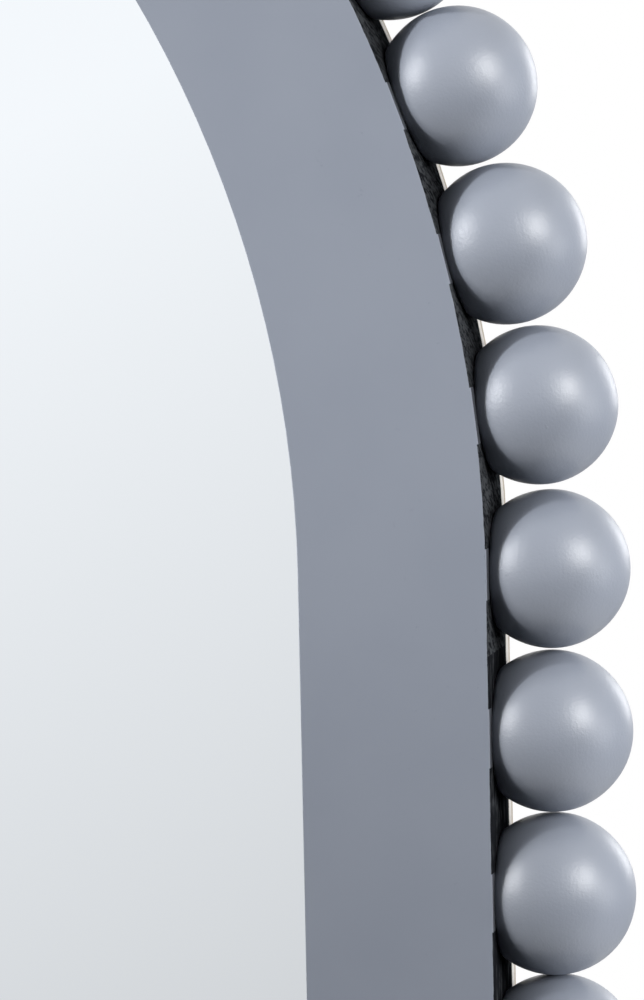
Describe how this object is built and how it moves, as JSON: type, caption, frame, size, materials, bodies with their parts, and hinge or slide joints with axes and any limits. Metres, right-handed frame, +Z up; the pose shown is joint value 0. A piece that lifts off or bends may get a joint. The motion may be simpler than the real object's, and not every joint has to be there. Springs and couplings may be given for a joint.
{
  "type": "wall mirror",
  "caption": "Arch-topped wall mirror: a flat painted wooden frame, edged all round with a row of painted wooden balls, hung by two D-rings on its back panel.",
  "frame": {"origin": "on the wall plane, behind the centre of the arch (the middle of the springing line)", "axes": "+Z up, +X to the viewer's right, +Y into the wall, so the mirror faces -Y"},
  "size_m": [0.7036, 0.041, 1.017],
  "materials": {
    "frame_paint": "satin grey paint on the front and the inner edge, near-black stain on the outer edge",
    "ball_paint": "satin grey paint with a faint orange peel",
    "beech": "planed",
    "pine": "planed",
    "silvered_glass": "polished",
    "raw_fibreboard": "raw sanded board, pale at its cut edge",
    "zinc_screw": "bright zinc",
    "nickel_hanger": "nickel plate",
    "soft_rubber": "matte"
  },
  "bodies": {
    "mirror_body": {"arch_crown": "frame_paint", "arch_left": "frame_paint", "arch_right": "frame_paint", "back_panel": "raw_fibreboard", "balls_arch_crown": "ball_paint", "balls_arch_left": "ball_paint", "balls_arch_right": "ball_paint", "balls_bottom": "ball_paint", "balls_left_side": "ball_paint", "balls_right_side": "ball_paint", "bottom_rail": "frame_paint", "dowels_arch_crown": "beech", "dowels_arch_left": "beech", "dowels_arch_right": "beech", "dowels_bottom": "beech", "dowels_left_side": "beech", "dowels_right_side": "beech", "glazing_strip_arch_left": "pine", "glazing_strip_arch_right": "pine", "glazing_strip_bottom": "pine", "glazing_strip_left": "pine", "glazing_strip_right": "pine", "hanger_screws": "zinc_screw", "left_frame_tenons": "beech", "left_hanger_strap": "nickel_hanger", "left_side_rail": "frame_paint", "mirror_glass": "silvered_glass", "panel_screws": "zinc_screw", "right_frame_tenons": "beech", "right_hanger_strap": "nickel_hanger", "right_side_rail": "frame_paint", "wall_bumpers": "soft_rubber"},
    "right_ring": {"right_hanger_ring": "nickel_hanger"},
    "left_ring": {"left_hanger_ring": "nickel_hanger"}
  },
  "joints": [
    {"name": "right_ring_swing", "type": "hinge", "parent": "mirror_body", "child": "right_ring", "pos_m": [0.3025, -0.0026, -0.045], "axis": [1, 0, 0], "range_deg": [0, 180]},
    {"name": "left_ring_swing", "type": "hinge", "parent": "mirror_body", "child": "left_ring", "pos_m": [-0.3025, -0.0026, -0.045], "axis": [1, 0, 0], "range_deg": [0, 180]}
  ]
}
